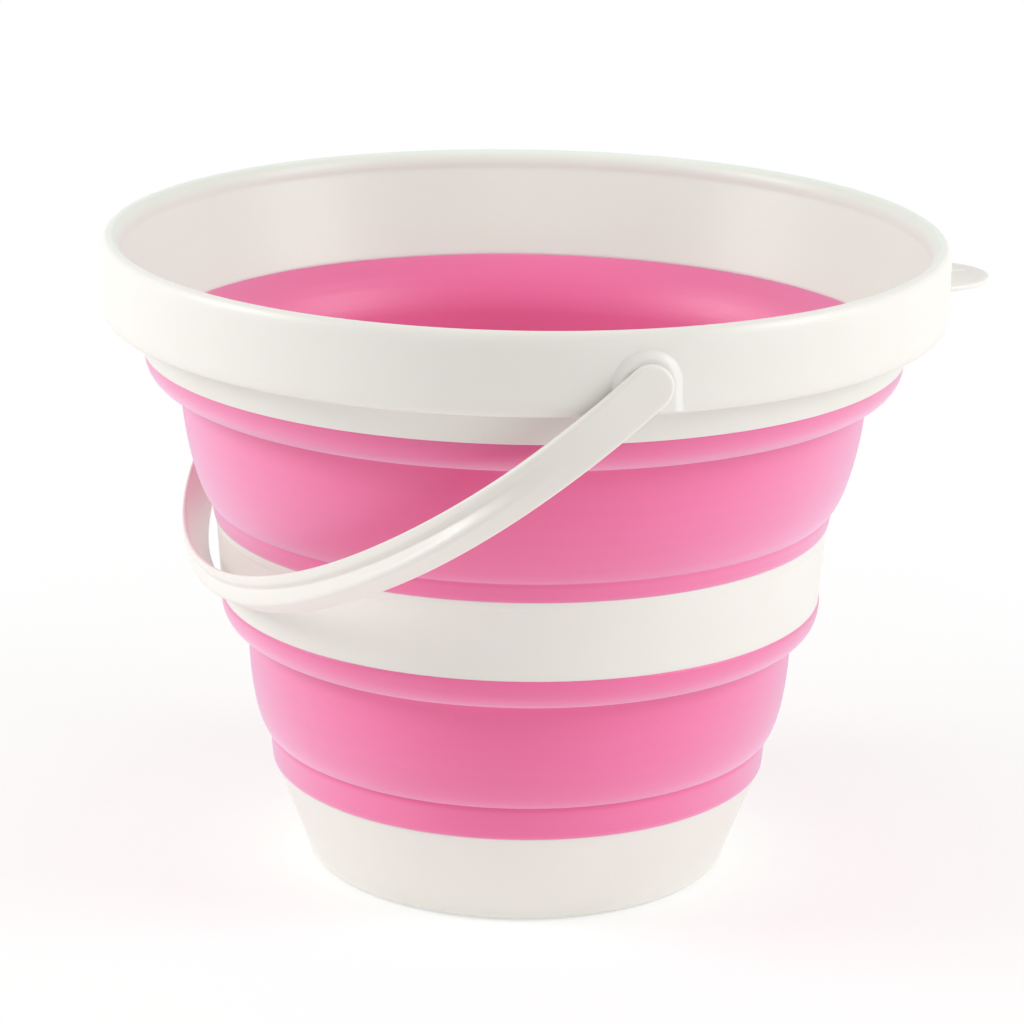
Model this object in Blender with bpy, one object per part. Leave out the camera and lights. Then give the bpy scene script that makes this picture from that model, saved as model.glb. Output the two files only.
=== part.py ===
"""Collapsible camp bucket: three rigid rings, two folding rubber walls and a bail handle.

Metres, +Z up. The origin is the middle of the underside of the base. The handle's pivots lie on
the Y axis of the rim and the thumb tab points along +X. At rest the bucket stands open and the
handle hangs at its -X side, leaning on the mid ring.
"""

import math

import bmesh
import bpy
from mathutils import Matrix, Vector

# Facets around every turned piece
SEGMENTS = 56

# Fits shared by all pieces
SEAT_GAP = 0.0003
FOLD_CLEARANCE = 0.0005
FOLD_OVERLAP = 0.0008
TONGUE_WIDTH = 0.0010
TONGUE_DEPTH = 0.0030
CUT_OVERRUN = 0.0010

# Base cup
BASE_HEIGHT = 0.0384
BASE_FOOT_RADIUS = 0.0788
BASE_EDGE_ROUND = 0.0030
BASE_TOP_RADIUS = 0.0952
BASE_WALL = 0.0026
BASE_FLOOR = 0.0028
BASE_SIDE_BOW = 0.0008

# Rubber walls, the same compound and gauge above and below
RUBBER_WALL = 0.0018
RUBBER_JOINT_WALL = 0.0030
RUBBER_PROUD = 0.0004

# Lower bellows
LOWER_COLLAR_HEIGHT = 0.0143
LOWER_COLLAR_FLARE = 0.0004
LOWER_PANEL_HEIGHT = 0.0430
LOWER_PANEL_FLARE = 0.0068
LOWER_PANEL_BOW = 0.0023
LOWER_SHOULDER_HEIGHT = 0.0126
LOWER_SHOULDER_REACH = 0.0086

# Mid ring
MID_RING_HEIGHT = 0.0307
MID_RING_FLARE = 0.0024
MID_RING_WALL = 0.0026
MID_RING_EDGE_ROUND = 0.0004

# Upper bellows
UPPER_COLLAR_HEIGHT = 0.0086
UPPER_COLLAR_FLARE = 0.0020
UPPER_PANEL_HEIGHT = 0.0468
UPPER_PANEL_FLARE = 0.0084
UPPER_PANEL_BOW = 0.0021
UPPER_SHOULDER_HEIGHT = 0.0126
UPPER_SHOULDER_REACH = 0.0112

# Rim frame
RIM_WALL_HEIGHT = 0.0426
RIM_INNER_FLARE = 0.0118
RIM_NECK_WALL = 0.0030
RIM_NECK_HEIGHT = 0.0124
RIM_NECK_FLARE = 0.0044
RIM_LIP_WIDTH = 0.0064
RIM_LIP_ROUND = 0.0045
SKIRT_WALL = 0.0032
SKIRT_CHANNEL_WIDTH = 0.0078
SKIRT_HEIGHT = 0.0302
SKIRT_EDGE_ROUND = 0.0036
SKIRT_LAND = 0.0012

# Pivot bosses on the skirt
PIVOT_RISE = 0.0112
BOSS_RADIUS = 0.0130
BOSS_BEVEL_WIDTH = 0.0036
BOSS_BEVEL_DEPTH = 0.0013
BOSS_PROUD = 0.0013
BOSS_FOOT_RISE = 0.0014
PIVOT_HOLE_CLEARANCE = 0.0003

# Thumb tab on the skirt, which the parked handle also rests on
TAB_RISE = 0.0038
TAB_ROOT_DEPTH = 0.0019
TAB_LENGTH = 0.0268
TAB_WIDTH = 0.0472
TAB_THICKNESS = 0.0030
TAB_EDGE_ROUND = 0.0008
TAB_RIB_WIDTH = 0.0020
TAB_RIB_HEIGHT = 0.0018
TAB_RIB_TIP_HEIGHT = 0.0004
TAB_RIB_SETBACK = 0.0040

# Bail handle: its width is along the pivots' tangent, its outer face looks away from the bucket
BAIL_WIDTH = 0.0166
BAIL_THICKNESS = 0.0034
BAIL_EDGE_CHAMFER = 0.0008
BAIL_REST_CHAMFER = 0.0018
BAIL_PIVOT_GAP = 0.0003
BAIL_REST_GAP = 0.0024
BAIL_STRAIGHT = 0.0060
BAIL_SHORTFALL = 0.0007
BAIL_STEPS = 40
BAIL_END_STEPS = 5

# Grip of the bail: a sunk bed along its upper half and a ridge along its lower half
GRIP_TOP_SINK = 0.0012
GRIP_BED_SINK = 0.0008
GRIP_BED_EDGE = 0.0056
GRIP_RIDGE_FOOT = 0.0030
GRIP_RIDGE_CREST = 0.0006
GRIP_RIDGE_ROUND = 0.0009
GRIP_RIDGE_HEIGHT = 0.0046
GRIP_LOWER_RISE = 0.0012
GRIP_START_DEGREES = 8
GRIP_FULL_DEGREES = 38

# Snap studs on the ends of the bail
STUD_RADIUS = 0.0040
STUD_HEAD_RADIUS = 0.0050
STUD_HEAD_LENGTH = 0.0024
STUD_HEAD_CHAMFER = 0.0008
STUD_FACETS = 20

# Corner fullness of the rubber shoulders, as the power of a superellipse
SHOULDER_FULLNESS = 2.5
SHOULDER_STEPS = 5
PANEL_STEPS = 4

# Finishes: base colour and roughness
WHITE_PLASTIC = ((0.855, 0.831, 0.787, 1.0), 0.34)
PINK_RUBBER = ((0.855, 0.178, 0.376, 1.0), 0.42)


def material_for(piece_name, finish):
    colour, roughness = finish
    material = bpy.data.materials.new(piece_name + "_material")
    material.use_nodes = True
    shader = material.node_tree.nodes["Principled BSDF"]
    shader.inputs["Base Color"].default_value = colour
    shader.inputs["Roughness"].default_value = roughness
    shader.inputs["Metallic"].default_value = 0.0
    material.diffuse_color = colour
    return material


def add_object(name, bm, material=None):
    """A mesh object of this name from a bmesh, with smooth round faces and sharp edges."""
    bmesh.ops.recalc_face_normals(bm, faces=bm.faces)
    mesh = bpy.data.meshes.new(name)
    bm.to_mesh(mesh)
    bm.free()
    mesh.shade_smooth()
    mesh.set_sharp_from_angle(angle=math.radians(32))
    made = bpy.data.objects.new(name, mesh)
    bpy.context.scene.collection.objects.link(made)
    if material:
        mesh.materials.append(material)
    return made


def helper(made):
    """Marks an object as a tool that only shapes another one."""
    made.hide_render = True
    made.display_type = "WIRE"
    return made


def combine(target, tool, operation):
    modifier = target.modifiers.new(tool.name, "BOOLEAN")
    modifier.object = helper(tool)
    modifier.operation = operation
    modifier.solver = "EXACT"


def turned(outline, segments=SEGMENTS, axis="Z"):
    """A bmesh turned from a closed outline of (radius, height) points, poles where radius is 0."""
    bm = bmesh.new()
    rings = []
    for radius, height in outline:
        if radius == 0:
            rings.append([bm.verts.new((0, 0, height))])
            continue
        ring = []
        for step in range(segments):
            turn = math.tau * step / segments
            ring.append(bm.verts.new((radius * math.cos(turn), radius * math.sin(turn), height)))
        rings.append(ring)
    for index, ring in enumerate(rings):
        after = rings[(index + 1) % len(rings)]
        if len(ring) == 1 and len(after) == 1:
            continue
        for step in range(segments):
            following = (step + 1) % segments
            corners = [ring[step % len(ring)], ring[following % len(ring)]]
            corners += [after[following % len(after)], after[step % len(after)]]
            face = []
            for corner in corners:
                if corner not in face:
                    face.append(corner)
            bm.faces.new(face)
    if axis == "Y":
        bmesh.ops.rotate(bm, verts=bm.verts, matrix=Matrix.Rotation(math.radians(-90), 3, "X"))
    return bm


def full_corner(top, bottom, steps=SHOULDER_STEPS, fullness=SHOULDER_FULLNESS):
    """Points from the outer top down and in to the bottom along a full, convex corner."""
    points = []
    for step in range(steps + 1):
        turn = math.pi / 2 * step / steps
        across = math.cos(turn) ** (2 / fullness)
        down = math.sin(turn) ** (2 / fullness)
        radius = bottom[0] + (top[0] - bottom[0]) * across
        height = top[1] + (bottom[1] - top[1]) * down
        points.append((radius, height))
    return points


def bowed_line(top, bottom, bow, steps=PANEL_STEPS):
    """Points from top to bottom along a shallow arch that stands out sideways by bow."""
    points = []
    for step in range(steps + 1):
        share = step / steps
        arch = 4 * share * (1 - share)
        radius = top[0] + (bottom[0] - top[0]) * share + bow * arch
        points.append((radius, top[1] + (bottom[1] - top[1]) * share))
    return points


def moved(points, across):
    return [(radius + across, height) for radius, height in points]


def tongue_up(outer_radius, wall, height):
    """Four points of a tongue on top of a wall, from the outer side to the inner side."""
    middle = outer_radius - wall / 2
    outer = middle + TONGUE_WIDTH / 2
    inner = middle - TONGUE_WIDTH / 2
    tip = height + TONGUE_DEPTH
    return [(outer, height), (outer, tip), (inner, tip), (inner, height)]


def groove_up(outer_radius, wall, height):
    """Four points of the groove that takes such a tongue, with the seating gap all round."""
    middle = outer_radius - wall / 2
    outer = middle + TONGUE_WIDTH / 2 + SEAT_GAP
    inner = middle - TONGUE_WIDTH / 2 - SEAT_GAP
    tip = height + TONGUE_DEPTH
    return [(outer, height), (outer, tip), (inner, tip), (inner, height)]


def upside_down(points, height):
    return [(radius, 2 * height - level) for radius, level in points]


for leftover in list(bpy.data.objects):
    bpy.data.objects.remove(leftover, do_unlink=True)

# Base cup: a flat floor and a low flared wall, with a tongue on top for the rubber
base_side_foot = (BASE_FOOT_RADIUS + BASE_EDGE_ROUND, BASE_EDGE_ROUND)
base_outer = bowed_line((BASE_TOP_RADIUS, BASE_HEIGHT), base_side_foot, BASE_SIDE_BOW, 3)
base_edge = full_corner(base_outer[-1], (BASE_FOOT_RADIUS, 0), 3, 2)
base_inner_top = (BASE_TOP_RADIUS - BASE_WALL, BASE_HEIGHT)
base_inner_foot = (BASE_FOOT_RADIUS + BASE_EDGE_ROUND - BASE_WALL, BASE_FLOOR + BASE_EDGE_ROUND)
base_inner = bowed_line(base_inner_top, base_inner_foot, BASE_SIDE_BOW, 3)
base_inner_edge = full_corner(base_inner[-1], (BASE_FOOT_RADIUS - BASE_WALL, BASE_FLOOR), 2, 2)
base_outline = (
    list(reversed(tongue_up(BASE_TOP_RADIUS, BASE_WALL, BASE_HEIGHT)))
    + base_outer
    + base_edge[1:]
    + [(0, 0), (0, BASE_FLOOR)]
    + list(reversed(base_inner_edge))
    + list(reversed(base_inner))[1:]
)
add_object("base_cup", turned(base_outline), material_for("base_cup", WHITE_PLASTIC))


def collar_outline(bottom_radius, bottom_height, height, flare, ring_radius, ring_wall):
    """A short rubber collar that grips the tongue of the ring below it."""
    groove = groove_up(ring_radius, ring_wall, bottom_height)
    top_height = bottom_height + height
    top_radius = bottom_radius + flare
    inner_bottom = bottom_radius - RUBBER_JOINT_WALL
    inner_knee = bottom_height + TONGUE_DEPTH + RUBBER_WALL
    outer = [(top_radius, top_height), (bottom_radius, bottom_height)]
    inner = [(inner_bottom, bottom_height), (inner_bottom, inner_knee)]
    return outer + groove + inner + [(top_radius - RUBBER_WALL, top_height)]


def shoulder_outline(top_radius, top_height, height, reach, ring_radius, ring_wall):
    """A full rubber shoulder that grips the tongue of the ring above it and ends in the fold lip."""
    groove = upside_down(groove_up(ring_radius, ring_wall, top_height), top_height)
    lip_radius = top_radius - reach
    lip_height = top_height - height
    outer = full_corner((top_radius, top_height), (lip_radius, lip_height))
    fold_radius = lip_radius - RUBBER_WALL
    inner_top = (top_radius - RUBBER_JOINT_WALL, top_height - TONGUE_DEPTH - RUBBER_WALL)
    inner = full_corner(inner_top, (fold_radius, lip_height + RUBBER_WALL), 3)
    closing = [(fold_radius, lip_height)] + list(reversed(inner))
    crown = [(top_radius - RUBBER_JOINT_WALL, top_height)]
    return outer + closing + crown + list(reversed(groove))


def panel_outline(bottom_inner_radius, bottom_height, height, flare, bow):
    """A bowed rubber wall of even gauge between its two folds."""
    bottom = (bottom_inner_radius + RUBBER_WALL, bottom_height)
    top = (bottom[0] + flare, bottom_height + height)
    outer = bowed_line(top, bottom, bow)
    return outer + list(reversed(moved(outer, -RUBBER_WALL)))


# Lower collar: seated on the base cup and fixed to it
lower_collar_foot = BASE_HEIGHT + SEAT_GAP
lower_collar_radius = BASE_TOP_RADIUS + RUBBER_PROUD
lower_collar_top = lower_collar_foot + LOWER_COLLAR_HEIGHT
lower_collar_top_radius = lower_collar_radius + LOWER_COLLAR_FLARE
add_object(
    "lower_collar",
    turned(
        collar_outline(
            lower_collar_radius,
            lower_collar_foot,
            LOWER_COLLAR_HEIGHT,
            LOWER_COLLAR_FLARE,
            BASE_TOP_RADIUS,
            BASE_WALL,
        )
    ),
    material_for("lower_collar", PINK_RUBBER),
)

# Lower panel: laps over the collar and up into the shoulder, and slides between them
lower_panel_foot = lower_collar_top - FOLD_OVERLAP
lower_panel_inner_radius = lower_collar_top_radius + FOLD_CLEARANCE
lower_panel_top = lower_panel_foot + LOWER_PANEL_HEIGHT
lower_panel_top_radius = lower_panel_inner_radius + RUBBER_WALL + LOWER_PANEL_FLARE
lower_panel_mesh = turned(
    panel_outline(
        lower_panel_inner_radius, lower_panel_foot, LOWER_PANEL_HEIGHT, LOWER_PANEL_FLARE, LOWER_PANEL_BOW
    )
)
add_object("lower_panel", lower_panel_mesh, material_for("lower_panel", PINK_RUBBER))

# Lower shoulder: hangs from the mid ring
lower_shoulder_foot = lower_panel_top - FOLD_OVERLAP
lower_shoulder_lip = lower_panel_top_radius + FOLD_CLEARANCE + RUBBER_WALL
lower_shoulder_radius = lower_shoulder_lip + LOWER_SHOULDER_REACH
lower_shoulder_top = lower_shoulder_foot + LOWER_SHOULDER_HEIGHT
mid_ring_foot_radius = lower_shoulder_radius - RUBBER_PROUD
add_object(
    "lower_shoulder",
    turned(
        shoulder_outline(
            lower_shoulder_radius,
            lower_shoulder_top,
            LOWER_SHOULDER_HEIGHT,
            LOWER_SHOULDER_REACH,
            mid_ring_foot_radius,
            MID_RING_WALL,
        )
    ),
    material_for("lower_shoulder", PINK_RUBBER),
)

# Mid ring: a flared band with a tongue above and below
mid_ring_foot = lower_shoulder_top + SEAT_GAP
mid_ring_top = mid_ring_foot + MID_RING_HEIGHT
mid_ring_top_radius = mid_ring_foot_radius + MID_RING_FLARE
mid_upper_tongue = tongue_up(mid_ring_top_radius, MID_RING_WALL, mid_ring_top)
mid_lower_tongue = upside_down(tongue_up(mid_ring_foot_radius, MID_RING_WALL, mid_ring_foot), mid_ring_foot)
mid_ring_outline = [
    (mid_ring_top_radius - MID_RING_EDGE_ROUND, mid_ring_top),
    (mid_ring_top_radius, mid_ring_top - MID_RING_EDGE_ROUND),
    (mid_ring_foot_radius, mid_ring_foot + MID_RING_EDGE_ROUND),
    (mid_ring_foot_radius - MID_RING_EDGE_ROUND, mid_ring_foot),
    *mid_lower_tongue,
    (mid_ring_foot_radius - MID_RING_WALL, mid_ring_foot),
    (mid_ring_top_radius - MID_RING_WALL, mid_ring_top),
    *reversed(mid_upper_tongue),
]
add_object("mid_ring", turned(mid_ring_outline), material_for("mid_ring", WHITE_PLASTIC))

# Upper collar: seated on the mid ring
upper_collar_foot = mid_ring_top + SEAT_GAP
upper_collar_radius = mid_ring_top_radius + RUBBER_PROUD
upper_collar_top = upper_collar_foot + UPPER_COLLAR_HEIGHT
upper_collar_top_radius = upper_collar_radius + UPPER_COLLAR_FLARE
add_object(
    "upper_collar",
    turned(
        collar_outline(
            upper_collar_radius,
            upper_collar_foot,
            UPPER_COLLAR_HEIGHT,
            UPPER_COLLAR_FLARE,
            mid_ring_top_radius,
            MID_RING_WALL,
        )
    ),
    material_for("upper_collar", PINK_RUBBER),
)

# Upper panel: laps over the upper collar and up into the upper shoulder
upper_panel_foot = upper_collar_top - FOLD_OVERLAP
upper_panel_inner_radius = upper_collar_top_radius + FOLD_CLEARANCE
upper_panel_top = upper_panel_foot + UPPER_PANEL_HEIGHT
upper_panel_top_radius = upper_panel_inner_radius + RUBBER_WALL + UPPER_PANEL_FLARE
upper_panel_mesh = turned(
    panel_outline(
        upper_panel_inner_radius, upper_panel_foot, UPPER_PANEL_HEIGHT, UPPER_PANEL_FLARE, UPPER_PANEL_BOW
    )
)
add_object("upper_panel", upper_panel_mesh, material_for("upper_panel", PINK_RUBBER))

# Upper shoulder: hangs from the rim's neck
upper_shoulder_foot = upper_panel_top - FOLD_OVERLAP
upper_shoulder_lip = upper_panel_top_radius + FOLD_CLEARANCE + RUBBER_WALL
upper_shoulder_radius = upper_shoulder_lip + UPPER_SHOULDER_REACH
upper_shoulder_top = upper_shoulder_foot + UPPER_SHOULDER_HEIGHT
neck_foot_radius = upper_shoulder_radius + RUBBER_PROUD
add_object(
    "upper_shoulder",
    turned(
        shoulder_outline(
            upper_shoulder_radius,
            upper_shoulder_top,
            UPPER_SHOULDER_HEIGHT,
            UPPER_SHOULDER_REACH,
            neck_foot_radius,
            RIM_NECK_WALL,
        )
    ),
    material_for("upper_shoulder", PINK_RUBBER),
)

# Rim frame: sloping inner wall, rounded lip and a skirt that hangs clear of the neck
neck_foot = upper_shoulder_top + SEAT_GAP
rim_top = neck_foot + RIM_WALL_HEIGHT
neck_top = neck_foot + RIM_NECK_HEIGHT
neck_top_radius = neck_foot_radius + RIM_NECK_FLARE
rim_inner_foot_radius = neck_foot_radius - RIM_NECK_WALL
lip_inner_radius = rim_inner_foot_radius + RIM_INNER_FLARE
skirt_inner_radius = neck_top_radius + SKIRT_CHANNEL_WIDTH
skirt_radius = skirt_inner_radius + SKIRT_WALL
skirt_foot = neck_top
skirt_top = skirt_foot + SKIRT_HEIGHT
channel_roof = skirt_top - SKIRT_WALL - RIM_LIP_ROUND / 2
lip_crown_radius = lip_inner_radius + RIM_LIP_WIDTH / 2
lip_outer = full_corner((skirt_radius, rim_top - RIM_LIP_ROUND), (lip_crown_radius, rim_top), 3, 2.4)
lip_outer.reverse()
lip_inner = full_corner((lip_inner_radius, rim_top - RIM_LIP_ROUND), (lip_crown_radius, rim_top), 3, 2)
skirt_edge = full_corner(
    (skirt_radius, skirt_foot + SKIRT_EDGE_ROUND), (skirt_inner_radius + SKIRT_LAND, skirt_foot), 2, 2
)
inner_slope = (lip_inner_radius - rim_inner_foot_radius) / (rim_top - RIM_LIP_ROUND - neck_foot)
roof_inner_radius = rim_inner_foot_radius + inner_slope * (channel_roof - neck_foot) + RIM_NECK_WALL
neck_tongue = upside_down(tongue_up(neck_foot_radius, RIM_NECK_WALL, neck_foot), neck_foot)
rim_outline = (
    lip_outer
    + skirt_edge
    + [(skirt_inner_radius, skirt_foot), (skirt_inner_radius, channel_roof)]
    + [(roof_inner_radius, channel_roof), (neck_top_radius, neck_top), (neck_foot_radius, neck_foot)]
    + neck_tongue
    + [(rim_inner_foot_radius, neck_foot)]
    + lip_inner[:-1]
)
rim_frame = add_object("rim_frame", turned(rim_outline), material_for("rim_frame", WHITE_PLASTIC))

# Pivot bosses: an arch on the skirt at each end of the Y axis, with a bevelled flat face
pivot_height = skirt_foot + PIVOT_RISE
boss_face = skirt_radius + BOSS_PROUD
boss_root = skirt_radius - SKIRT_WALL / 2


def arch(radius, foot_drop, steps=16):
    """A round-topped arch seen from outside, its feet this far below the pivot."""
    points = []
    for step in range(steps + 1):
        turn = math.pi * step / steps
        points.append((radius * math.cos(turn), radius * math.sin(turn)))
    return points + [(-radius, -foot_drop), (radius, -foot_drop)]


def layered(layers):
    """A closed bmesh through outlines of equal count, each a list of (x, y, z) points."""
    bm = bmesh.new()
    rings = [[bm.verts.new(point) for point in layer] for layer in layers]
    for lower, upper in zip(rings, rings[1:]):
        for step in range(len(lower)):
            following = (step + 1) % len(lower)
            bm.faces.new((lower[step], lower[following], upper[following], upper[step]))
    bm.faces.new(list(reversed(rings[0])))
    bm.faces.new(rings[-1])
    return bm


boss_drop = pivot_height - skirt_foot - BOSS_FOOT_RISE
for side, side_name in ((-1, "front"), (1, "back")):
    boss_layers = []
    for distance, radius, drop in (
        (boss_root, BOSS_RADIUS, boss_drop),
        (boss_face - BOSS_BEVEL_DEPTH, BOSS_RADIUS, boss_drop),
        (boss_face, BOSS_RADIUS - BOSS_BEVEL_WIDTH, boss_drop),
    ):
        layer = [(across, side * distance, pivot_height + up) for across, up in arch(radius, drop)]
        boss_layers.append(layer)
    combine(rim_frame, add_object("pivot_boss_" + side_name, layered(boss_layers)), "UNION")

# Thumb tab: a flat half ellipse on the skirt at +X, with a low rib that dies out to its tip
tab_root = skirt_radius - TAB_ROOT_DEPTH
tab_reach = skirt_radius - tab_root + TAB_LENGTH
tab_foot = skirt_foot + TAB_RISE
tab_top = tab_foot + TAB_THICKNESS


def half_ellipse(inset, height, steps=18):
    points = []
    for step in range(steps + 1):
        turn = math.pi * (step / steps - 1 / 2)
        along = tab_root + (tab_reach - inset) * math.cos(turn)
        points.append((along, (TAB_WIDTH / 2 - inset) * math.sin(turn), height))
    return points


tab_layers = [
    half_ellipse(TAB_EDGE_ROUND, tab_foot),
    half_ellipse(0, tab_foot + TAB_EDGE_ROUND),
    half_ellipse(0, tab_top - TAB_EDGE_ROUND),
    half_ellipse(TAB_EDGE_ROUND, tab_top),
]
combine(rim_frame, add_object("thumb_tab", layered(tab_layers)), "UNION")
rib_tip = tab_root + tab_reach - TAB_RIB_SETBACK
rib_foot = tab_top - TAB_THICKNESS / 2
rib_layers = []
for along, rise in ((tab_root, TAB_RIB_HEIGHT), (rib_tip, TAB_RIB_TIP_HEIGHT)):
    half = TAB_RIB_WIDTH / 2
    crest = tab_top + rise
    foot_line = [(along, -half, rib_foot), (along, half, rib_foot)]
    rib_layers.append(foot_line + [(along, half, crest), (along, -half, crest)])
combine(rim_frame, add_object("thumb_tab_rib", layered(rib_layers)), "UNION")

# Pivot holes: right through both bosses and the skirt, ending in the channel behind it
hole_radius = STUD_RADIUS + PIVOT_HOLE_CLEARANCE
for side, side_name in ((-1, "front"), (1, "back")):
    near = side * (skirt_inner_radius - CUT_OVERRUN)
    far = side * (boss_face + CUT_OVERRUN)
    bm = turned([(0, near), (hole_radius, near), (hole_radius, far), (0, far)], STUD_FACETS, "Y")
    bmesh.ops.translate(bm, verts=bm.verts, vec=(0, 0, pivot_height))
    combine(rim_frame, add_object("pivot_hole_" + side_name, bm), "DIFFERENCE")

# Bail handle: a half ring of ridged strip that swings about the pivots
bail_inner_radius = boss_face + BAIL_PIVOT_GAP
bail_radius = bail_inner_radius + BAIL_THICKNESS / 2
bail_half = BAIL_WIDTH / 2
bail_bend_depth = bail_radius - BAIL_STRAIGHT - BAIL_SHORTFALL

lower_panel_head = (lower_panel_top_radius, lower_panel_top)
upper_panel_head = (upper_panel_top_radius, upper_panel_top)
lower_lip = (lower_shoulder_lip, lower_shoulder_foot)
upper_lip = (upper_shoulder_lip, upper_shoulder_foot)
body_profile = [
    *base_edge,
    *base_outer,
    (lower_collar_radius, lower_collar_foot),
    (lower_collar_top_radius, lower_collar_top),
    *bowed_line(lower_panel_head, (lower_panel_inner_radius, lower_panel_foot), LOWER_PANEL_BOW),
    *full_corner((lower_shoulder_radius, lower_shoulder_top), lower_lip),
    (mid_ring_foot_radius, mid_ring_foot),
    (mid_ring_top_radius, mid_ring_top),
    (upper_collar_radius, upper_collar_foot),
    (upper_collar_top_radius, upper_collar_top),
    *bowed_line(upper_panel_head, (upper_panel_inner_radius, upper_panel_foot), UPPER_PANEL_BOW),
    *full_corner((upper_shoulder_radius, upper_shoulder_top), upper_lip),
    (neck_foot_radius, neck_foot),
    (neck_top_radius, neck_top),
]
body_profile.sort(key=lambda point: point[1])


def body_radius_at(height):
    """The outer radius of the standing body at this height."""
    if height <= body_profile[0][1]:
        return body_profile[0][0]
    for (radius, low), (radius_above, high) in zip(body_profile, body_profile[1:]):
        if low <= height <= high:
            share = (height - low) / (high - low) if high > low else 1
            return radius + (radius_above - radius) * share
    return body_profile[-1][0]


def bail_clearance(angle):
    """The least distance from the bail's lower inner chamfer to the body at this hanging angle."""
    inner = -BAIL_THICKNESS / 2
    least = bail_radius
    for across, out in (
        (-bail_half, inner + BAIL_REST_CHAMFER),
        (BAIL_REST_CHAMFER - bail_half, inner),
    ):
        for step in range(61):
            turn = math.radians(step)
            reach = BAIL_STRAIGHT + (bail_bend_depth + out) * math.cos(turn)
            sideways = (bail_radius + out) * math.sin(turn)
            outward = reach * math.cos(angle) + across * math.sin(angle)
            height = pivot_height - reach * math.sin(angle) + across * math.cos(angle)
            least = min(least, math.hypot(outward, sideways) - body_radius_at(height))
    return least


hang_angle = 0.0
swing_step = math.radians(0.1)
while hang_angle < math.radians(80) and bail_clearance(hang_angle + swing_step) > BAIL_REST_GAP:
    hang_angle += swing_step

bail_out = Vector((-math.cos(hang_angle), 0, -math.sin(hang_angle)))
bail_across = Vector((-math.sin(hang_angle), 0, math.cos(hang_angle)))
bail_along = Vector((0, -1, 0))


def strip_section(centre, radial, half_width, grip):
    """Twelve points around the strip: a plain bar at grip 0, bed and ridge in full at grip 1."""
    fit = half_width / bail_half
    face = BAIL_THICKNESS / 2
    edge = min(BAIL_EDGE_CHAMFER, half_width / 3)
    rest = min(BAIL_REST_CHAMFER, half_width / 3)
    bed_edge = (bail_half - BAIL_EDGE_CHAMFER) * (1 - grip) + GRIP_BED_EDGE * grip
    crest = face + GRIP_RIDGE_HEIGHT * grip
    section = [
        (-half_width, rest - face),
        (rest - half_width, -face),
        (half_width - edge, -face),
        (half_width, edge - face),
        (half_width, face - edge - GRIP_TOP_SINK * grip),
        (bed_edge * fit, face - GRIP_BED_SINK * grip),
        (GRIP_RIDGE_FOOT * fit, face - GRIP_BED_SINK * grip),
        ((GRIP_RIDGE_CREST + GRIP_RIDGE_ROUND) * fit, crest - GRIP_RIDGE_ROUND * grip),
        (GRIP_RIDGE_CREST * fit, crest),
        ((GRIP_RIDGE_CREST - GRIP_RIDGE_ROUND) * fit, crest),
        (edge - half_width, face + GRIP_LOWER_RISE * grip),
        (-half_width, face - edge + GRIP_LOWER_RISE * grip),
    ]
    return [tuple(centre + bail_across * across + radial * out) for across, out in section]


def grip_share(turn):
    """0 near a pivot, 1 along the grip, with an even ramp between."""
    from_pivot = 90 - abs(math.degrees(turn))
    ramp = GRIP_FULL_DEGREES - GRIP_START_DEGREES
    return min(1, max(0, (from_pivot - GRIP_START_DEGREES) / ramp))


def rounded_end(side, step):
    """A section behind a pivot, so many steps back into the strip's half-round end."""
    back = math.pi / 2 * step / (BAIL_END_STEPS + 1 / 2)
    centre = bail_along * side * bail_radius - bail_out * bail_half * math.sin(back)
    return strip_section(centre, bail_along * side, bail_half * math.cos(back), 0)


bail_sections = [rounded_end(-1, step) for step in range(BAIL_END_STEPS, 0, -1)]
for step in range(BAIL_STEPS + 1):
    turn = math.pi * (step / BAIL_STEPS - 1 / 2)
    across, out = bail_radius * math.sin(turn), bail_bend_depth * math.cos(turn)
    radial = (bail_along * across / bail_radius**2 + bail_out * out / bail_bend_depth**2).normalized()
    centre = bail_along * across + bail_out * (BAIL_STRAIGHT + out)
    bail_sections.append(strip_section(centre, radial, bail_half, grip_share(turn)))
bail_sections += [rounded_end(1, step) for step in range(1, BAIL_END_STEPS + 1)]
handle = add_object("handle", layered(bail_sections), material_for("handle", WHITE_PLASTIC))
handle.location = (0, 0, pivot_height)

# Snap studs: inside the bosses' holes, with a head in the channel behind the skirt
stud_head_face = skirt_inner_radius - SEAT_GAP
stud_tip = stud_head_face - STUD_HEAD_LENGTH
for side, side_name in ((-1, "front"), (1, "back")):
    stud_outline = [
        (0, side * stud_tip),
        (STUD_HEAD_RADIUS - STUD_HEAD_CHAMFER, side * stud_tip),
        (STUD_HEAD_RADIUS, side * (stud_tip + STUD_HEAD_CHAMFER)),
        (STUD_HEAD_RADIUS, side * stud_head_face),
        (STUD_RADIUS, side * stud_head_face),
        (STUD_RADIUS, side * bail_radius),
        (0, side * bail_radius),
    ]
    stud = add_object("snap_stud_" + side_name, turned(stud_outline, STUD_FACETS, "Y"))
    stud.location = (0, 0, pivot_height)
    combine(handle, stud, "UNION")
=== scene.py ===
"""Collapsible camp bucket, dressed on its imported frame: three moulded white rings, two pink rubber
bellows and a ridged bail handle, on a white studio floor."""

import math

import bmesh
import bpy
import numpy as np
from mathutils import Matrix, Vector


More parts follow.
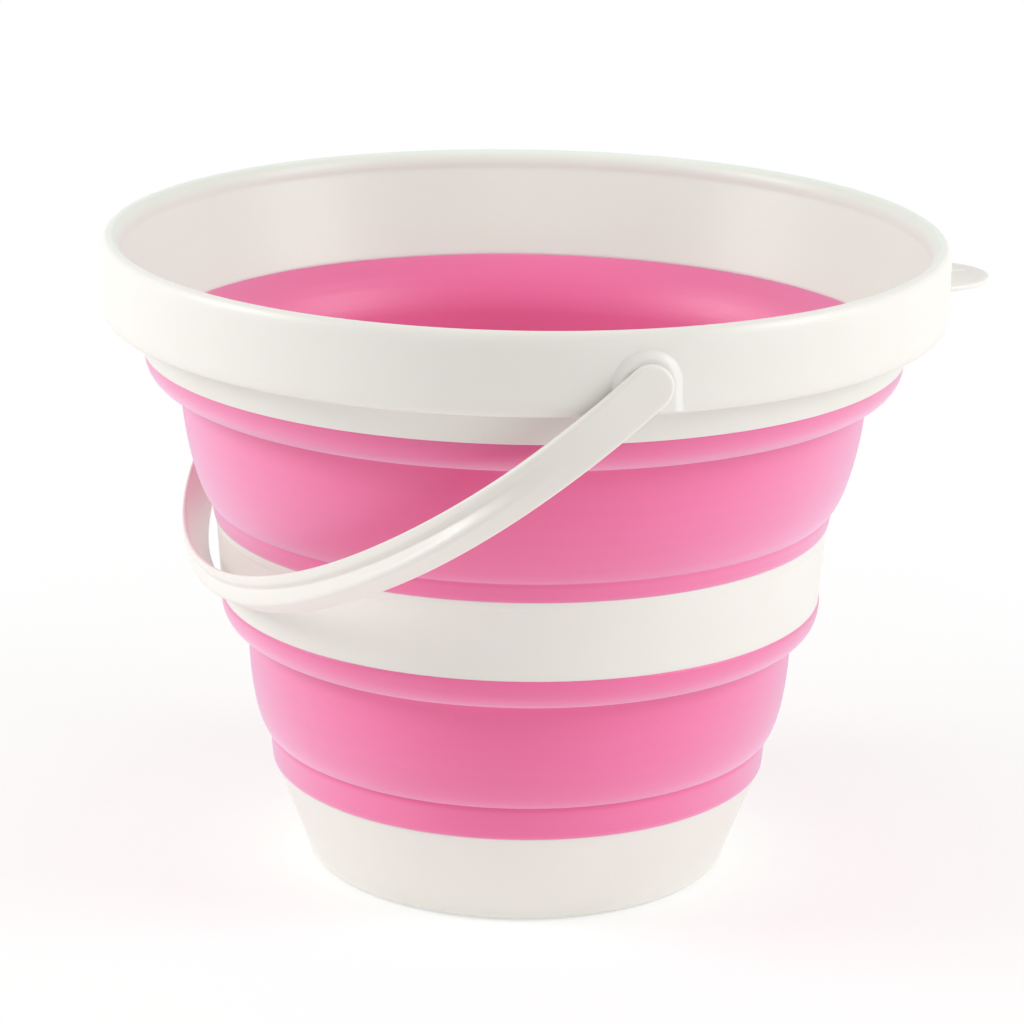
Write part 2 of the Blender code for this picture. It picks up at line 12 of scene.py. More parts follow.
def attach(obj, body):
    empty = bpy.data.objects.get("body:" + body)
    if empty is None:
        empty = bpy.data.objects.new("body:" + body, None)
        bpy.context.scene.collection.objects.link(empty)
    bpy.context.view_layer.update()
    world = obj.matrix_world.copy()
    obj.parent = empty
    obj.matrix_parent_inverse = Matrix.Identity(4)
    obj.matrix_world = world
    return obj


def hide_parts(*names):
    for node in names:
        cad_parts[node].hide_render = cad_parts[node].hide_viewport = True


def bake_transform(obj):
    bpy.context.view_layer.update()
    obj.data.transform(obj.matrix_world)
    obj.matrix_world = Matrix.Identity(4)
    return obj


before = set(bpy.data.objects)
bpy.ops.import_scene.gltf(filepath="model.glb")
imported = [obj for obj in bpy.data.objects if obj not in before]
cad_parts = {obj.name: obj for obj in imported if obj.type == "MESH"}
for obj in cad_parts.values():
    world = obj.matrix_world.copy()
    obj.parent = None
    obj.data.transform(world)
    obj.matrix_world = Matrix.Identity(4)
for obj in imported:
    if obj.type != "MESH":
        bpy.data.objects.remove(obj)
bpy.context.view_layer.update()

# Camera: a long lens that looks down 17 degrees from 1.4 m away, turned so that the handle hangs
# to the left and one pivot boss faces the front right. The small roll is the photograph's own.
camera_data = bpy.data.cameras.new("photo_camera")
camera_data.lens = 132.9
camera_data.sensor_width = 36.0
camera_data.clip_start = 0.05
camera_data.clip_end = 60.0
camera = bpy.data.objects.new("photo_camera", camera_data)
bpy.context.scene.collection.objects.link(camera)
heading = Matrix.Rotation(math.radians(-15.15), 4, "Z")
pitch = Matrix.Rotation(math.radians(90 - 16.71), 4, "X")
roll = Matrix.Rotation(math.radians(0.93), 4, "Z")
camera.matrix_world = Matrix.Translation((-0.36942, -1.35038, 0.5567)) @ heading @ pitch @ roll
bpy.context.scene.camera = camera
bpy.context.scene.view_settings.view_transform = "Standard"


# Studio: a white backdrop all round, a dimmer even light from it, and a white floor that keeps
# the bucket's soft shadow. The backdrop is plain white to the lens and in reflections. The floor
# is paper on a light table, whose faint glow fills the neck and the base from below.
def linear(code):
    """A colour in sRGB hex as linear red, green, blue and alpha: each share of 255 is divided by
    12.92 in the dark, and else has 0.055 added, is divided by 1.055 and is raised to 2.4."""
    value = np.array([int(code[i : i + 2], 16) for i in (1, 3, 5)]) / 255
    value = np.where(value <= 0.04045, value / 12.92, ((value + 0.055) / 1.055) ** 2.4)
    return (*value.tolist(), 1.0)


def add(tree, kind, settings=None, values=None, links=None):
    """One node of this kind, with its settings, its input values, and its links, which are given
    as input socket to output socket."""
    made = tree.nodes.new(kind)
    for key, value in (settings or {}).items():
        setattr(made, key, value)
    for key, value in (values or {}).items():
        made.inputs[key].default_value = value
    for key, source in (links or {}).items():
        tree.links.new(source, made.inputs[key])
    return made


def seen_directly(tree):
    """1 for rays that the lens or a reflection sends out, 0 for the light that falls on things."""
    path = add(tree, "ShaderNodeLightPath")
    both = add(
        tree,
        "ShaderNodeMath",
        {"operation": "MAXIMUM"},
        links={0: path.outputs["Is Camera Ray"], 1: path.outputs["Is Glossy Ray"]},
    )
    every = add(
        tree,
        "ShaderNodeMath",
        {"operation": "MAXIMUM"},
        links={0: both.outputs[0], 1: path.outputs["Is Transmission Ray"]},
    )
    return every.outputs[0]


world = bpy.data.worlds.new("studio_white")
bpy.context.scene.world = world
world.use_nodes = True
tree = world.node_tree
tree.nodes.clear()
fill = add(tree, "ShaderNodeBackground", values={"Color": linear("#FFFDF9"), "Strength": 0.5})
white = add(tree, "ShaderNodeBackground", values={"Color": linear("#FFFFFF"), "Strength": 1.0})
backdrop = add(
    tree,
    "ShaderNodeMixShader",
    links={0: seen_directly(tree), 1: fill.outputs[0], 2: white.outputs[0]},
)
add(tree, "ShaderNodeOutputWorld", links={"Surface": backdrop.outputs[0]})

# The floor lies a fifth of a millimetre below the base's foot, so that the two share no plane
FLOOR_REACH_M, FLOOR_TOP_M = 9, -0.0002
floor_corners = np.array([(-1, -1, 0), (1, -1, 0), (1, 1, 0), (-1, 1, 0)]) * FLOOR_REACH_M
floor_mesh = bpy.data.meshes.new("studio_floor")
floor_mesh.from_pydata((floor_corners + (0, 0, FLOOR_TOP_M)).tolist(), [], [(0, 1, 2, 3)])
floor = bpy.data.objects.new("studio_floor", floor_mesh)
bpy.context.scene.collection.objects.link(floor)
floor_paint = bpy.data.materials.new("matt_white_paper")
floor_paint.use_nodes = True
tree = floor_paint.node_tree
tree.nodes.clear()
matt = add(tree, "ShaderNodeBsdfDiffuse", values={"Color": linear("#F6F6F5")})
table = add(tree, "ShaderNodeEmission", values={"Color": linear("#FFFFFC"), "Strength": 0.14})
lit = add(tree, "ShaderNodeAddShader", links={0: matt.outputs[0], 1: table.outputs[0]})
# Away from the bucket, the floor that the lens sees turns slowly into the white of the backdrop
white = add(tree, "ShaderNodeEmission", values={"Color": linear("#FFFFFF"), "Strength": 1.0})
place = add(tree, "ShaderNodeTexCoord")
reach = add(tree, "ShaderNodeVectorMath", {"operation": "LENGTH"}, links={0: place.outputs["Object"]})
far = add(
    tree,
    "ShaderNodeMapRange",
    {"interpolation_type": "SMOOTHSTEP"},
    {"From Min": 0.08, "From Max": 0.5, "To Min": 0.5, "To Max": 1.0},
    {"Value": reach.outputs["Value"]},
)
share = add(
    tree,
    "ShaderNodeMath",
    {"operation": "MULTIPLY"},
    links={0: far.outputs[0], 1: seen_directly(tree)},
)
paper = add(
    tree,
    "ShaderNodeMixShader",
    links={0: share.outputs[0], 1: lit.outputs[0], 2: white.outputs[0]},
)
add(tree, "ShaderNodeOutputMaterial", links={"Surface": paper.outputs[0]})
floor_mesh.materials.append(floor_paint)

# Lamps: a soft box to each side, about 30 degrees up as seen from the bucket. The middle of the
# front stays darker, and the left one throws the handle's soft shadow down on the mid ring.
LAMP_AIM_M = (0, 0, 0.15)
for name, place_m, size_m, watts in (
    ("soft_box_left", (-1.262, 0.160, 0.945), (0.6, 0.6), 9.9),
    ("soft_box_right", (1.122, -0.655, 0.90), (0.6, 0.8), 9.6),
):
    lamp_data = bpy.data.lights.new(name, "AREA")
    lamp_data.shape = "RECTANGLE"
    lamp_data.size, lamp_data.size_y = size_m
    lamp_data.energy = watts
    lamp = bpy.data.objects.new(name, lamp_data)
    bpy.context.scene.collection.objects.link(lamp)
    away = (np.array(place_m) - np.array(LAMP_AIM_M)).tolist()
    turn = Vector(away).to_track_quat("Z", "Y")
    lamp.matrix_world = Matrix.Translation(place_m) @ turn.to_matrix().to_4x4()


# Rim frame: the top moulding of white polypropylene, made in one shot. A sloping inner wall rolls
# over a rounded lip into a deep skirt, and the neck below it carries the upper bellows.
MM = 0.001


def surface(name, grid, wrap_rows=False):
    """A closed smooth mesh through a grid of points (rows, columns, 3), whose columns go once round.
    A row whose points all meet becomes a pole, and one that folds onto itself becomes a seam."""
    rows, columns = grid.shape[:2]
    index = np.arange(rows * columns).reshape(rows, columns)
    lower = index if wrap_rows else index[:-1]
    upper = np.roll(index, -1, 0) if wrap_rows else index[1:]
    quads = np.stack((lower, np.roll(lower, -1, 1), np.roll(upper, -1, 1), upper), -1).reshape(-1, 4)
    mesh = bpy.data.meshes.new(name)
    mesh.from_pydata(grid.reshape(-1, 3).tolist(), [], quads.tolist())
    bm = bmesh.new()
    bm.from_mesh(mesh)
    bmesh.ops.remove_doubles(bm, verts=bm.verts, dist=1e-6)
    bmesh.ops.dissolve_degenerate(bm, edges=bm.edges, dist=1e-7)
    bmesh.ops.recalc_face_normals(bm, faces=bm.faces)
    bm.to_mesh(mesh)
    bm.free()
    mesh.shade_smooth()
    mesh.set_sharp_from_angle(angle=math.radians(50))
    made = bpy.data.objects.new(name, mesh)
    bpy.context.scene.collection.objects.link(made)
    return made


def full_corner(start, end, fullness, steps=14):
    """A convex corner from start, where it runs along the height, to end, where it runs along the
    radius: the shares across and down obey across**fullness + down**fullness = 1."""
    turn = np.linspace(0, np.pi / 2, steps + 1)
    across = np.cos(turn) ** (2 / fullness)
    down = np.sin(turn) ** (2 / fullness)
    radius = end[0] + (start[0] - end[0]) * across
    height = start[1] + (end[1] - start[1]) * down
    return np.stack((radius, height), 1)


def eased(outline, spacing, ease, closed=True, reach=6):
    """The outline with evenly spaced points, each one the Gaussian mean of its neighbours, so that
    every crease gets a moulded radius of about the ease. Everything is in millimetres, but for the
    reach, which is how many neighbours on each side count."""
    points = np.vstack([outline, outline[:1]]) if closed else np.asarray(outline, float)
    length = np.concatenate(([0], np.cumsum(np.linalg.norm(np.diff(points, axis=0), axis=1))))
    count = int(round(length[-1] / spacing)) + (0 if closed else 1)
    at = np.linspace(0, length[-1], count, endpoint=not closed)
    even = np.stack([np.interp(at, length, points[:, k]) for k in (0, 1)], 1)
    step = length[-1] / (count if closed else count - 1)
    offsets = np.arange(-reach, reach + 1)
    weights = np.exp(-0.5 * (offsets * step / ease) ** 2)
    weights /= weights.sum()
    if closed:
        return sum(w * np.roll(even, -k, 0) for w, k in zip(weights, offsets))
    before = 2 * even[0] - even[reach:0:-1]
    after = 2 * even[-1] - even[-2 : -2 - reach : -1]
    padded = np.vstack([before, even, after])
    return sum(w * padded[reach + k : reach + k + count] for w, k in zip(weights, offsets))


def turned(name, outline_mm, closed=True, turns=264, axis="Z"):
    """The outline of (radius, height) in millimetres carried round the axis, which is Z, or Y for
    the studs. The two coordinates across the axis are the radius times the cosine and the sine of
    the angle."""
    angle = np.linspace(0, 2 * np.pi, turns, endpoint=False)
    radius = outline_mm[:, :1] * MM
    height = np.repeat(outline_mm[:, 1:] * MM, turns, 1)
    one, other = radius * np.cos(angle), radius * np.sin(angle)
    layers = (one, other, height) if axis == "Z" else (one, height, other)
    return surface(name, np.stack(layers, -1), wrap_rows=closed)


def moulded_polypropylene(name, light, deep):
    """Warm white polypropylene from a satin-polished tool. The melt leaves very faint clouds of a
    deeper tone, 45 mm across, and the tool an orange peel with waves of 1.4 mm, which softens
    every reflection."""
    material = bpy.data.materials.new(name)
    material.use_nodes = True
    tree = material.node_tree
    shader = tree.nodes["Principled BSDF"]
    shader.inputs["IOR"].default_value = 1.49
    shader.inputs["Subsurface Weight"].default_value = 0.12
    shader.inputs["Subsurface Radius"].default_value = (1.0, 0.8, 0.6)
    shader.inputs["Subsurface Scale"].default_value = 0.003
    place = add(tree, "ShaderNodeTexCoord").outputs["Object"]
    clouds = add(
        tree,
        "ShaderNodeTexNoise",
        values={"Scale": 1 / (45 * MM), "Detail": 3.0},
        links={"Vector": place},
    )
    tone = add(
        tree,
        "ShaderNodeMix",
        {"data_type": "RGBA"},
        {6: linear(light), 7: linear(deep)},
        {0: clouds.outputs["Fac"]},
    )
    tree.links.new(tone.outputs[2], shader.inputs["Base Color"])
    peel = add(
        tree,
        "ShaderNodeTexNoise",
        values={"Scale": 1 / (1.4 * MM), "Detail": 2.0},
        links={"Vector": place},
    )
    satin = add(
        tree,
        "ShaderNodeMapRange",
        values={"From Min": 0.3, "From Max": 0.7, "To Min": 0.34, "To Max": 0.44},
        links={"Value": peel.outputs["Fac"]},
    )
    tree.links.new(satin.outputs[0], shader.inputs["Roughness"])
    bump = add(
        tree,
        "ShaderNodeBump",
        values={"Strength": 0.12, "Distance": 0.04 * MM},
        links={"Height": peel.outputs["Fac"]},
    )
    tree.links.new(bump.outputs[0], shader.inputs["Normal"])
    return material


white_moulding = moulded_polypropylene("moulded_white_polypropylene", "#F2F1ED", "#EEEDE7")

# In millimetres, as all sizes of pieces are: radii from the bucket's axis, heights from the floor
SKIRT_RADIUS, SKIRT_BACK = 160.4, 157.2
RIM_TOP, SKIRT_FOOT, NECK_FOOT = 247.6, 217.4, 204.0
# From the neck's foot up behind the skirt, down and round its foot, up the skirt, over the lip
# and down the inner wall
rim_outline = np.vstack(
    [
        [(144.9, NECK_FOOT), (149.4, SKIRT_FOOT), (156.4, 241.6), (SKIRT_BACK, 242.1)],
        [(SKIRT_BACK, SKIRT_FOOT)],
        full_corner((SKIRT_RADIUS, 223.6), (157.6, SKIRT_FOOT), fullness=2.0)[::-1],
        full_corner((SKIRT_RADIUS, 240.4), (156.9, RIM_TOP), fullness=2.3),
        full_corner((152.9, 240.6), (157.0, RIM_TOP), fullness=2.0)[::-1],
        [(142.2, 206.3), (143.6, 204.6)],
    ]
)
rim_moulding = turned("rim_moulding", eased(rim_outline, spacing=0.75, ease=0.4))
rim_moulding.data.materials.append(white_moulding)
# The inside of the wall is a touch greener, which answers the pink light the bellows throw on it.
# A face counts as inside where it looks towards the axis. The skirt's unseen back does so too.
rim_moulding.data.materials.append(
    moulded_polypropylene("moulded_white_inside_the_rim", "#F1FAF1", "#EDF6ED")
)
faces = rim_moulding.data.polygons
centres, normals = (np.empty(3 * len(faces), np.float32) for _ in range(2))
faces.foreach_get("center", centres)
faces.foreach_get("normal", normals)
outward = (centres * normals).reshape(-1, 3)[:, :2].sum(1)
faces.foreach_set("material_index", (outward < 0).astype(np.int32))
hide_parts("rim_frame")
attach(rim_moulding, "rim")

# Pivot bosses: two arched pads of the same white polypropylene, moulded on the skirt. Each has a
# flat face for the handle's end and a broad soft bevel round it that runs down to the skirt.
PIVOT_HEIGHT = 228.6
# Of the arch round the face and the arch round the bevel's foot: its radius, and its drop, which
# is from the pivot down to the end of its straight sides
FACE_RADIUS, FACE_DROP = 9.4, 9.2
FOOT_RADIUS, FOOT_DROP = 13.2, 10.0
# Distances from the bucket's middle plane to the face, and to the root inside the skirt's wall.
# The bevel's edge is sunk a little in the skirt, so that no gap shows.
FACE_OUT, ROOT_OUT, SUNK = 161.7, 158.4, 0.15


def arch_outline(radius, drop, steps=120):
    """Points round an arch centred on the pivot, seen from outside: a half circle on top, straight
    sides, and a flat foot this far below the centre. Equal steps give equal counts on each part,
    so that two arches can be joined."""
    turn = np.linspace(0, np.pi, steps // 2, endpoint=False)
    crown = np.stack((radius * np.cos(turn), radius * np.sin(turn)), 1)
    side = steps // 6
    down = np.stack((np.full(side, -radius), np.linspace(0, -drop, side, endpoint=False)), 1)
    foot = np.stack((np.linspace(-radius, radius, side, endpoint=False), np.full(side, -drop)), 1)
    rise = np.stack((np.full(side, radius), np.linspace(-drop, 0, side, endpoint=False)), 1)
    return np.vstack([crown, down, foot, rise])


for side, side_name in ((-1, "front"), (1, "back")):
    inner = arch_outline(FACE_RADIUS, FACE_DROP)
    outer = arch_outline(FOOT_RADIUS, FOOT_DROP)
    share = np.linspace(0, 1, 13)[:, None, None]
    flat = np.array([0.0, 0.35, 0.7, 0.97])[:, None, None] * inner
    bevel = inner + (outer - inner) * share
    plan = np.vstack([flat, bevel, outer[None], outer[None] * 0])
    # The bevel falls by a mean of a straight and an S-shaped slope, from the face to the skirt,
    # and the last two rows close the pad inside the skirt's wall
    drop = (0.35 * share + 0.65 * share**2 * (3 - 2 * share)).ravel()
    fall = np.concatenate((np.zeros(len(flat)), drop, [1, 1]))
    skin = np.sqrt(SKIRT_RADIUS**2 - plan[..., 0] ** 2) - SUNK
    depth = FACE_OUT + (skin - FACE_OUT) * fall[:, None]
    depth[-2:] = ROOT_OUT
    grid = np.stack((plan[..., 0], side * depth, PIVOT_HEIGHT + plan[..., 1]), -1) * MM
    boss = surface("pivot_boss_" + side_name, grid)
    boss.data.materials.append(white_moulding)
    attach(boss, "rim")

# Thumb tab: a thin half-oval plate of the same white polypropylene, moulded on the skirt, to
# press the rim down or lift it. A low rib along its middle dies out towards the tip.
TAB_REACH, TAB_HALF_WIDTH = 28.8, 23.6
TAB_LEVEL, TAB_HALF_THICKNESS = 222.7, 1.5
angle = np.linspace(-np.pi / 2, np.pi / 2, 73)
oval = np.stack((ROOT_OUT + TAB_REACH * np.cos(angle), TAB_HALF_WIDTH * np.sin(angle)), 1)
root = np.stack((np.full(23, ROOT_OUT), np.linspace(TAB_HALF_WIDTH, -TAB_HALF_WIDTH, 25)[1:-1]), 1)
tab_line = np.vstack([oval, root])
# From the underside to the top, the outline opens from its middle and closes on it again as the
# cosine to a low power, and the height goes as the root of the sine. So the faces are flat and
# the edge is full and round.
tab_middle = np.array([166.0, 0.0])
latitude = np.linspace(-np.pi / 2, np.pi / 2, 49)
spread = np.abs(np.cos(latitude)) ** 0.28
rise = np.sign(np.sin(latitude)) * np.abs(np.sin(latitude)) ** 0.5
plan = tab_middle + (tab_line - tab_middle) * spread[:, None, None]
height = np.repeat((TAB_LEVEL + TAB_HALF_THICKNESS * rise)[:, None], len(tab_line), 1)
tab = surface("thumb_tab", np.concatenate((plan, height[..., None]), -1) * MM)
tab.data.materials.append(white_moulding)
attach(tab, "rim")

# The rib's girth grows within its first fortieth, inside the skirt, and falls slowly to the tip
RIB_START, RIB_LENGTH = 159.0, 24.0
RIB_HALF_WIDTH, RIB_LEVEL, RIB_RISE = 1.0, 224.1, 1.9
along = np.linspace(0, 1, 41)
around = np.linspace(0, 2 * np.pi, 32, endpoint=False)
girth = (1 - along) ** 0.8 * np.minimum(1, along * 40 + 0.001)
x = np.repeat((RIB_START + RIB_LENGTH * along)[:, None], len(around), 1)
y = RIB_HALF_WIDTH * girth[:, None] * np.cos(around)
z = RIB_LEVEL + RIB_RISE * girth[:, None] * np.sin(around)
rib = surface("thumb_tab_rib", np.stack((x, y, z), -1) * MM)
rib.data.materials.append(white_moulding)
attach(rib, "rim")


# Upper bellows: one moulding of soft pink rubber, bonded into the neck above and the mid ring below.
# On the real bucket its shoulder stays with the rim, its collar with the mid ring, and the bowed
# panel between them turns inside out when the rim is pushed down.
def soft_rubber(name, light, deep):
    """Thermoplastic rubber, smooth and slightly translucent. It drags in the tool, which leaves
    faint level streaks round the wall, 4 mm high and 120 mm long. Its matt bloom pales it where
    it turns away, and its grain is drawn 0.9 mm wide, coarser than the real one, so that it shows."""
    material = bpy.data.materials.new(name)
    material.use_nodes = True
    tree = material.node_tree
    shader = tree.nodes["Principled BSDF"]
    shader.inputs["IOR"].default_value = 1.5
    shader.inputs["Subsurface Weight"].default_value = 0.2
    shader.inputs["Subsurface Radius"].default_value = (1.0, 0.35, 0.5)
    shader.inputs["Subsurface Scale"].default_value = 0.004
    shader.inputs["Specular IOR Level"].default_value = 0.9
    shader.inputs["Sheen Weight"].default_value = 1.0
    shader.inputs["Sheen Roughness"].default_value = 0.65
    shader.inputs["Sheen Tint"].default_value = linear("#F1E8FC")
    place = add(tree, "ShaderNodeTexCoord").outputs["Object"]
    level = add(
        tree,
        "ShaderNodeMapping",
        values={"Scale": (1 / (120 * MM), 1 / (120 * MM), 1 / (4 * MM))},
        links={"Vector": place},
    )
    drag = add(
        tree,
        "ShaderNodeTexNoise",
        values={"Scale": 1.0, "Detail": 3.0},
        links={"Vector": level.outputs[0]},
    )
    tone = add(
        tree,
        "ShaderNodeMix",
        {"data_type": "RGBA"},
        {6: linear(light), 7: linear(deep)},
        {0: drag.outputs["Fac"]},
    )
    tree.links.new(tone.outputs[2], shader.inputs["Base Color"])
    grain = add(
        tree,
        "ShaderNodeTexNoise",
        values={"Scale": 1 / (0.9 * MM), "Detail": 2.0},
        links={"Vector": place},
    )
    bloom = add(
        tree,
        "ShaderNodeMapRange",
        values={"From Min": 0.3, "From Max": 0.7, "To Min": 0.42, "To Max": 0.52},
        links={"Value": grain.outputs["Fac"]},
    )
    tree.links.new(bloom.outputs[0], shader.inputs["Roughness"])
    bump = add(
        tree,
        "ShaderNodeBump",
        values={"Strength": 0.15, "Distance": 0.04 * MM},
        links={"Height": grain.outputs["Fac"]},
    )
    tree.links.new(bump.outputs[0], shader.inputs["Normal"])
    return material


pink_rubber = soft_rubber("soft_pink_rubber", "#F5539C", "#F04A94")

# From the neck down the outside: shoulder, bowed panel, collar. Then up the inside, 1.9 mm in
# and 0.3 mm up from the panel's outer face, with a thick soft bead under the neck.
TO_INNER_FACE = [-1.9, 0.3]
MID_RING_TOP = 138.0
upper_bow = full_corner((131.0, 190.6), (119.5, 145.5), fullness=1.55, steps=40)
upper_outline = np.vstack(
    [
        [(144.2, 205.4)],
        full_corner((144.4, NECK_FOOT), (132.0, 191.7), fullness=2.3),
        [(131.1, 191.3)],
        upper_bow,
        [(119.2, 145.3), (119.7, 144.9), (118.4, MID_RING_TOP), (117.4, 137.8), (117.4, 136.8)],
        [(115.8, 136.8), (115.9, 138.4), (116.8, 145.0)],
        (upper_bow[9:] + TO_INNER_FACE)[::-1],
        [(128.9, 185.6), (129.7, 188.8), (131.0, 192.2), (133.1, 196.0)],
        [(135.9, 199.8), (139.2, 203.3), (142.3, 206.3), (143.2, 206.5)],
    ]
)
upper_bellows = turned("upper_bellows", eased(upper_outline, spacing=0.85, ease=0.6))
upper_bellows.data.materials.append(pink_rubber)
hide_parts("upper_collar", "upper_panel", "upper_shoulder")
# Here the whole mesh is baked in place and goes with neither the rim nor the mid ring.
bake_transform(upper_bellows)

# Mid ring: a plain flared band of the white polypropylene, which both bellows are bonded to. A
# faint witness line runs round it just below its top edge, where the two mould halves met.
MID_RING_FOOT = 107.3
# Down the outside, with the step of the witness line, and back up the inside
mid_outline = np.array(
    [
        (118.0, MID_RING_TOP), (117.75, 134.9), (117.6, 134.8), (117.5, 134.6),
        (115.6, MID_RING_FOOT), (113.0, MID_RING_FOOT), (115.4, MID_RING_TOP),
    ]
)
mid_band = turned("mid_ring_band", eased(mid_outline, spacing=0.4, ease=0.2))
mid_band.data.materials.append(white_moulding)
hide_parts("mid_ring")
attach(mid_band, "middle")

# Lower bellows: the smaller moulding of the same pink rubber, bonded to the mid ring above and
# the base below, with the same shoulder, bowed panel and collar.
lower_bow = full_corner((105.5, 93.8), (96.5, 51.4), fullness=2.0, steps=40)
# In the same order as the upper one, with a straight bevel inside in place of the bead
lower_outline = np.vstack(
    [
        [(115.0, 108.6), (115.0, 107.4)],
        full_corner((116.0, 107.2), (106.4, 94.9), fullness=2.4),
        [(105.6, 94.5)],
        lower_bow,
        [(96.2, 51.2), (97.1, 50.6), (96.0, 38.5), (94.6, 38.3), (94.6, 37.2)],
        [(93.0, 37.2), (93.1, 38.8), (94.0, 51.0)],
        (lower_bow + TO_INNER_FACE)[::-1],
        [(104.3, 96.4), (106.4, 99.6), (109.4, 103.4), (113.2, 107.4), (113.8, 108.6)],
    ]
)
lower_bellows = turned("lower_bellows", eased(lower_outline, spacing=0.85, ease=0.6))
lower_bellows.data.materials.append(pink_rubber)
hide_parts("lower_collar", "lower_panel", "lower_shoulder")
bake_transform(lower_bellows)

# Base cup: the bottom moulding of white polypropylene, a flat floor with a low flared wall that
# carries the lower bellows on its top edge. A shallow recess under the floor leaves a standing
# ring, and the dimple in the recess's middle is where the melt ran in.
CUP_FLOOR, RECESS, DIMPLE = 2.8, 0.6, 1.0
# From the middle of the underside out to the standing ring, up the wall, and back along the floor
base_outline = np.vstack(
    [
        [(0, DIMPLE), (2.4, DIMPLE), (2.6, RECESS), (70.5, RECESS), (71.3, 0)],
        full_corner((82.0, 3.6), (78.6, 0), fullness=2.0)[::-1],
        [(95.2, 38.4), (92.6, 38.4), (79.4, 5.8)],
        full_corner((79.4, 5.8), (76.2, CUP_FLOOR), fullness=2.0),
        [(0, CUP_FLOOR)],
    ]
)
base_skin = eased(base_outline, spacing=0.6, ease=0.35, closed=False)
# Both ends lie on the axis, which closes the floor above and below
base_skin[[0, -1], 0] = 0
base_moulding = turned("base_moulding", base_skin, closed=False, turns=240)
base_moulding.data.materials.append(white_moulding)
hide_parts("base_cup")
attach(base_moulding, "base")

# Bail handle: a half hoop of polypropylene strip. Along the grip its outer face sinks into a flat
# bed beside a raised, rounded ridge for the fingers, lower in the middle, and both die out before
# the pivots. Each end is rounded about its pivot and has a snap stud on its inside.
handle_moulding = moulded_polypropylene("moulded_handle_polypropylene", "#F2F0EC", "#EDEAE5")
# The angle it hangs below level, the distance from the middle to each pivot, the straight part
# at each end, and how far the bend reaches out beyond it
HANG = math.radians(40.2)
HALF_SPAN, STRAIGHT, BEND_DEPTH = 163.7, 6.0, 157.0
# Degrees round the hoop from a pivot: where the ridge starts to rise and to sink, and over how far
RISE, SINK = (8, 30), (55, 35)
SINK_SHARE = 0.36
out_axis = np.array([-math.cos(HANG), 0, -math.sin(HANG)])
wide_axis = np.array([-math.sin(HANG), 0, math.cos(HANG)])
side_axis = np.array([0, -1.0, 0])
pivot = np.array([0, 0, PIVOT_HEIGHT])


def strip_section(*lines, counts=(30, 48, 30), reach=5, spread=1.3):
    """A closed section of (across, out) in millimetres, from three lines of corners that follow on
    one another. Each is divided evenly into its count of points, and then every point is the
    Gaussian mean of its neighbours within this reach, with this spread, both in points, which
    softens the corners."""
    parts = []
    for corners, count in zip(lines, counts):
        corners = np.array(corners, float)
        length = np.concatenate(([0], np.cumsum(np.linalg.norm(np.diff(corners, axis=0), axis=1))))
        at = np.linspace(0, length[-1], count, endpoint=False)
        parts.append(np.stack([np.interp(at, length, corners[:, k]) for k in (0, 1)], 1))
    even = np.vstack(parts)
    offsets = np.arange(-reach, reach + 1)
    weights = np.exp(-0.5 * (offsets / spread) ** 2)
    return sum(w * np.roll(even, -k, 0) for w, k in zip(weights / weights.sum(), offsets))


# The strip as it is at its ends, and as it is along the grip with the bed and the ridge. The edge
# is at half the strip's width, and the face at half its thickness.
EDGE, FACE = 8.3, 1.7
plain = strip_section(
    [(0, -FACE), (7.6, -FACE), (EDGE, -1.0), (EDGE, 0.8)],
    [(EDGE, 0.8), (7.5, FACE), (-7.5, FACE), (-EDGE, 0.8)],
    [(-EDGE, 0.8), (-EDGE, -1.0), (-7.6, -FACE), (0, -FACE)],
)
ridged = strip_section(
    [(0, -FACE), (7.6, -FACE), (EDGE, -1.2), (EDGE, -0.9)],
    [
        (EDGE, -0.9), (5.4, 1.0), (3.0, 0.4), (1.5, 5.4),
        (0.5, 6.3), (-0.6, 6.2), (-7.5, 2.8), (-EDGE, 2.0),
    ],
    [(-EDGE, 2.1), (-EDGE, 0.1), (-6.5, -FACE), (0, -FACE)],
)
# The ridge's share of the section along the hoop: an S-shaped step up from each end, and a
# second, smaller one down towards the middle
turn = np.linspace(-np.pi / 2, np.pi / 2, 241)
from_pivot = 90 - np.abs(np.degrees(turn))
rise, sink = (np.clip((from_pivot - first) / length, 0, 1) for first, length in (RISE, SINK))
ramp = rise * rise * (3 - 2 * rise) * (1 - SINK_SHARE * sink * sink * (3 - 2 * sink))
section = plain + (ridged - plain) * ramp[:, None, None]
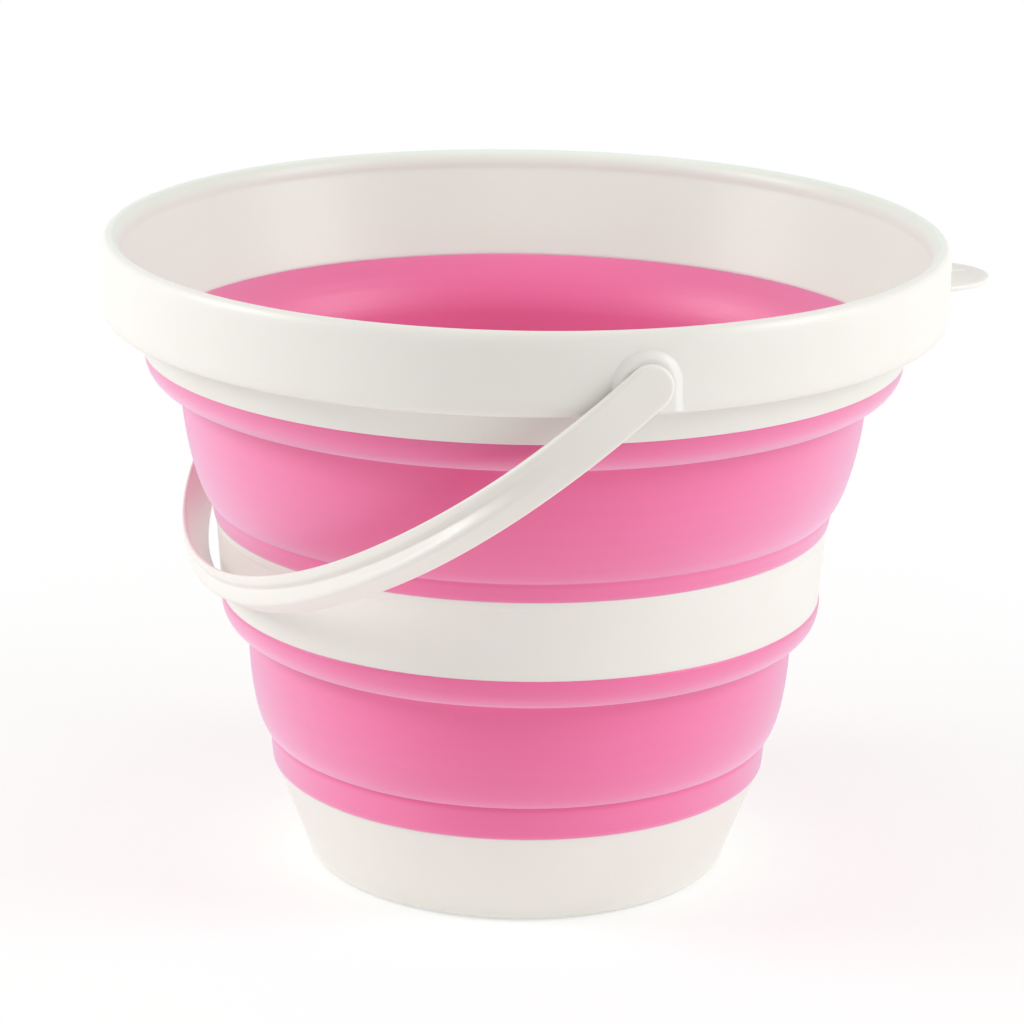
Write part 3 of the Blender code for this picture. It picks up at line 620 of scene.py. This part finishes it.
# The bend is half an ellipse: the sine of the turn goes sideways and the cosine out. The section
# is carried along it, its width in one direction all the way and its out along the normal.
centre = np.outer(HALF_SPAN * np.sin(turn), side_axis)
centre += np.outer(STRAIGHT + BEND_DEPTH * np.cos(turn), out_axis)
normal = np.outer(np.sin(turn) / HALF_SPAN, side_axis)
normal += np.outer(np.cos(turn) / BEND_DEPTH, out_axis)
normal /= np.linalg.norm(normal, axis=1)[:, None]
hoop = pivot + centre[:, None] + section[..., :1] * wide_axis + section[..., 1:] * normal[:, None]
# Beyond the bend, each end runs straight to its pivot and folds round it into a half round cap
back = np.linspace(0, np.pi / 2, 19)[1:, None]
lead = np.linspace(0, STRAIGHT, 7)[:-1, None, None]
caps, leads = [], []
for side in (-1, 1):
    start = pivot + side * HALF_SPAN * side_axis
    face = plain[:, 1:] * (side * side_axis)
    leads.append(start + lead * out_axis + plain[:, :1] * wide_axis + face)
    across = plain[:, 0] * np.cos(back)
    behind = -np.abs(plain[:, 0]) * np.sin(back)
    caps.append(start + across[..., None] * wide_axis + behind[..., None] * out_axis + face)
strip = np.concatenate((caps[0][::-1], leads[0], hoop, leads[1][::-1], caps[1]))
grip = surface("handle_strip", strip * MM)
grip.data.materials.append(handle_moulding)
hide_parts("handle")
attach(grip, "bail")

# Snap studs: a round stud with a head on the inside of each end, of the handle's polypropylene and
# moulded in one with it. It clicks through the hole in the boss and turns there.
# From the head to the strip, as (radius, distance from the bucket's middle plane)
stud_outline = np.array(
    [(0, 154.6), (4.2, 154.6), (5.0, 155.4), (5.0, 156.9), (4.0, 156.9), (4.0, 163.0), (0, 163.0)]
)
for side, side_name in ((-1, "front"), (1, "back")):
    outline = eased(stud_outline, spacing=0.3, ease=0.15, closed=False) * [1, side]
    outline[[0, -1], 0] = 0
    stud = turned("snap_stud_" + side_name, outline, closed=False, turns=64, axis="Y")
    stud.data.transform(Matrix.Translation((0, 0, PIVOT_HEIGHT * MM)))
    stud.data.materials.append(handle_moulding)
    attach(stud, "bail")
